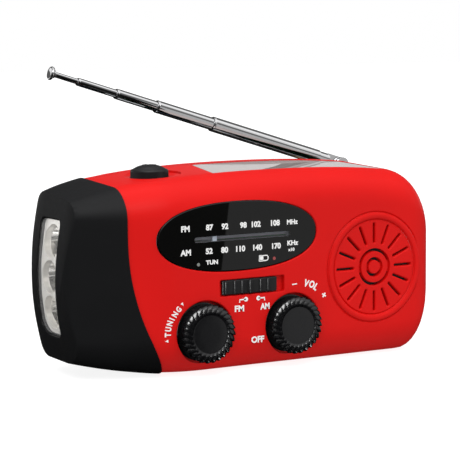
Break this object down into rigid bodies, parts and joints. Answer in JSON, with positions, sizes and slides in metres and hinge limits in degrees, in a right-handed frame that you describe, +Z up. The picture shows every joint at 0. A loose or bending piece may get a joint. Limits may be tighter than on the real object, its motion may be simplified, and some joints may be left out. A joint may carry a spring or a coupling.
{
  "type": "emergency radio",
  "caption": "Compact hand-crank and solar emergency radio with a lamp head, tuning dial, speaker grille and telescoping antenna.",
  "frame": {"origin": "centre of the flat face that it stands on", "axes": "+Z up; +X along the length towards the speaker end, -X towards the lamp; -Y out of the front with the dial"},
  "size_m": [0.1238, 0.0569, 0.0892],
  "materials": {
    "red_shell": "satin moulded ABS",
    "black_shell": "soft-touch",
    "black_plastic": "moulded, fine grain",
    "clear_lens": "clear polycarbonate",
    "dial_glass": "clear polished acrylic",
    "dial_print": "screen-printed gloss",
    "reflector": "vacuum-metallised",
    "led_epoxy": "clear epoxy over phosphor",
    "circuit_board": "solder mask",
    "white_plastic": "acetal",
    "pointer_plastic": "moulded, polished",
    "zinc_steel": "zinc plated",
    "chrome": "bright chrome",
    "capacitor_case": "clear-cream moulded",
    "speaker_paper": "doped paper",
    "magnet": "ferrite",
    "copper_wire": "enamelled copper",
    "cell_wrap": "shrink sleeve",
    "solar_cell": "amorphous silicon",
    "solar_cover": "clear polished acrylic",
    "brass": "turned",
    "screw_black": "black oxide"
  },
  "bodies": {
    "case": {"front_shell": "red_shell", "rear_shell": "red_shell", "lamp_hood": "black_shell", "lamp_lens": "clear_lens", "lamp_reflector": "reflector", "lamp_leds": "led_epoxy", "lamp_board": "circuit_board", "dial_window": "dial_glass", "dial_plate": "dial_print", "pointer_rail": "black_plastic", "tuning_capacitor": "capacitor_case", "volume_pot": "zinc_steel", "band_switch": "black_plastic", "dust_screen": "speaker_paper", "speaker_frame": "zinc_steel", "speaker_cone": "speaker_paper", "speaker_magnet": "magnet", "main_board": "circuit_board", "ferrite_rod": "magnet", "ferrite_coil": "copper_wire", "battery_cell": "cell_wrap", "solar_cover": "solar_cover", "solar_panel": "solar_cell", "lamp_switch": "black_plastic", "antenna_bush": "zinc_steel", "crank_bush": "brass", "gearbox_plate": "zinc_steel", "idler_axle": "zinc_steel", "generator": "zinc_steel", "port_pin": "zinc_steel", "usb_socket": "zinc_steel", "charge_socket": "zinc_steel", "port_board": "circuit_board", "housing_screws": "screw_black"},
    "tuning": {"tuning_knob": "black_plastic", "tuning_shaft": "zinc_steel"},
    "dial_idler": {"dial_idler": "white_plastic"},
    "pointer": {"dial_pointer": "pointer_plastic"},
    "volume": {"volume_knob": "black_plastic", "volume_shaft": "zinc_steel"},
    "band_slider": {"band_slider": "black_plastic"},
    "lamp_button": {"lamp_button": "black_plastic"},
    "turret": {"antenna_turret": "chrome", "antenna_pin": "zinc_steel"},
    "mast": {"antenna_knuckle": "chrome", "antenna_tube_1": "chrome"},
    "mast_2": {"antenna_tube_2": "chrome"},
    "mast_3": {"antenna_tube_3": "chrome"},
    "mast_4": {"antenna_tube_4": "chrome"},
    "mast_5": {"antenna_rod_5": "chrome"},
    "crank": {"crank_shaft": "zinc_steel", "crank_gear": "white_plastic", "crank_arm": "black_plastic", "crank_screw": "zinc_steel", "crank_pin": "zinc_steel"},
    "crank_peg": {"crank_peg": "zinc_steel"},
    "crank_knob": {"crank_knob": "black_plastic"},
    "gear_idler": {"idler_gear": "white_plastic"},
    "rotor": {"generator_pinion": "brass"},
    "port_cover": {"port_cover": "black_plastic"}
  },
  "joints": [
    {"name": "tuning_turn", "type": "hinge", "parent": "case", "child": "tuning", "pos_m": [-0.0236, 0, 0.0127], "axis": [0, 1, 0], "range_deg": [-217, 49]},
    {"name": "dial_idler_turn", "type": "hinge", "parent": "case", "child": "dial_idler", "pos_m": [-0.01251, 0, 0.01729], "axis": [0, 1, 0], "range_deg": [-50, 218]},
    {"name": "pointer_slide", "type": "slide", "parent": "case", "child": "pointer", "axis": [1, 0, 0], "range_m": [-0.0053, 0.0229]},
    {"name": "volume_turn", "type": "hinge", "parent": "case", "child": "volume", "pos_m": [0.0058, 0, 0.0127], "axis": [0, 1, 0], "range_deg": [0, 280]},
    {"name": "band_slide", "type": "slide", "parent": "case", "child": "band_slider", "axis": [1, 0, 0], "range_m": [0, 0.002]},
    {"name": "lamp_press", "type": "slide", "parent": "case", "child": "lamp_button", "axis": [0, 0, -1], "range_m": [0, 0.0012], "stiffness_N_per_m": 600, "springref_m": -0.0005},
    {"name": "antenna_swivel", "type": "hinge", "parent": "case", "child": "turret", "pos_m": [0.0466, 0.016, 0.05595], "axis": [0, 0, -1], "range_deg": [0, 180]},
    {"name": "antenna_tilt", "type": "hinge", "parent": "turret", "child": "mast", "pos_m": [0.0466, 0.016, 0.05595], "axis": [0, 1, 0], "range_deg": [-17.3, 72.7]},
    {"name": "antenna_slide_2", "type": "slide", "parent": "mast", "child": "mast_2", "axis": [-0.9548, 0, 0.2974], "range_m": [-0.02, 0.014]},
    {"name": "antenna_slide_3", "type": "slide", "parent": "mast_2", "child": "mast_3", "axis": [-0.9548, 0, 0.2974], "range_m": [-0.0139, 0.019]},
    {"name": "antenna_slide_4", "type": "slide", "parent": "mast_3", "child": "mast_4", "axis": [-0.9548, 0, 0.2974], "range_m": [-0.013, 0.019]},
    {"name": "antenna_slide_5", "type": "slide", "parent": "mast_4", "child": "mast_5", "axis": [-0.9548, 0, 0.2974], "range_m": [-0.007, 0.02]},
    {"name": "crank_turn", "type": "hinge", "parent": "case", "child": "crank", "pos_m": [0.038, 0, 0.031], "axis": [0, 1, 0], "continuous": true},
    {"name": "gear_idler_turn", "type": "hinge", "parent": "case", "child": "gear_idler", "pos_m": [0.02131, 0, 0.03774], "axis": [0, 1, 0], "continuous": true},
    {"name": "generator_turn", "type": "hinge", "parent": "case", "child": "rotor", "pos_m": [0.00631, 0, 0.03774], "axis": [0, 1, 0], "continuous": true},
    {"name": "crank_peg_fold", "type": "hinge", "parent": "crank", "child": "crank_peg", "pos_m": [-0.006, 0.027, 0.031], "axis": [0, 0, 1], "range_deg": [0, 90]},
    {"name": "crank_knob_spin", "type": "hinge", "parent": "crank_peg", "child": "crank_knob", "pos_m": [0.008, 0.027, 0.031], "axis": [1, 0, 0], "continuous": true},
    {"name": "port_cover_hinge", "type": "hinge", "parent": "case", "child": "port_cover", "pos_m": [-0.0245, 0.0223, 0.044], "axis": [1, 0, 0], "range_deg": [0, 100]}
  ],
  "couplings": [
    {"joint": "dial_idler_turn", "follows": "tuning_turn", "ratio": -1},
    {"joint": "pointer_slide", "follows": "tuning_turn", "m_per_rad": -0.006},
    {"joint": "gear_idler_turn", "follows": "crank_turn", "ratio": -5},
    {"joint": "generator_turn", "follows": "crank_turn", "ratio": 20}
  ]
}
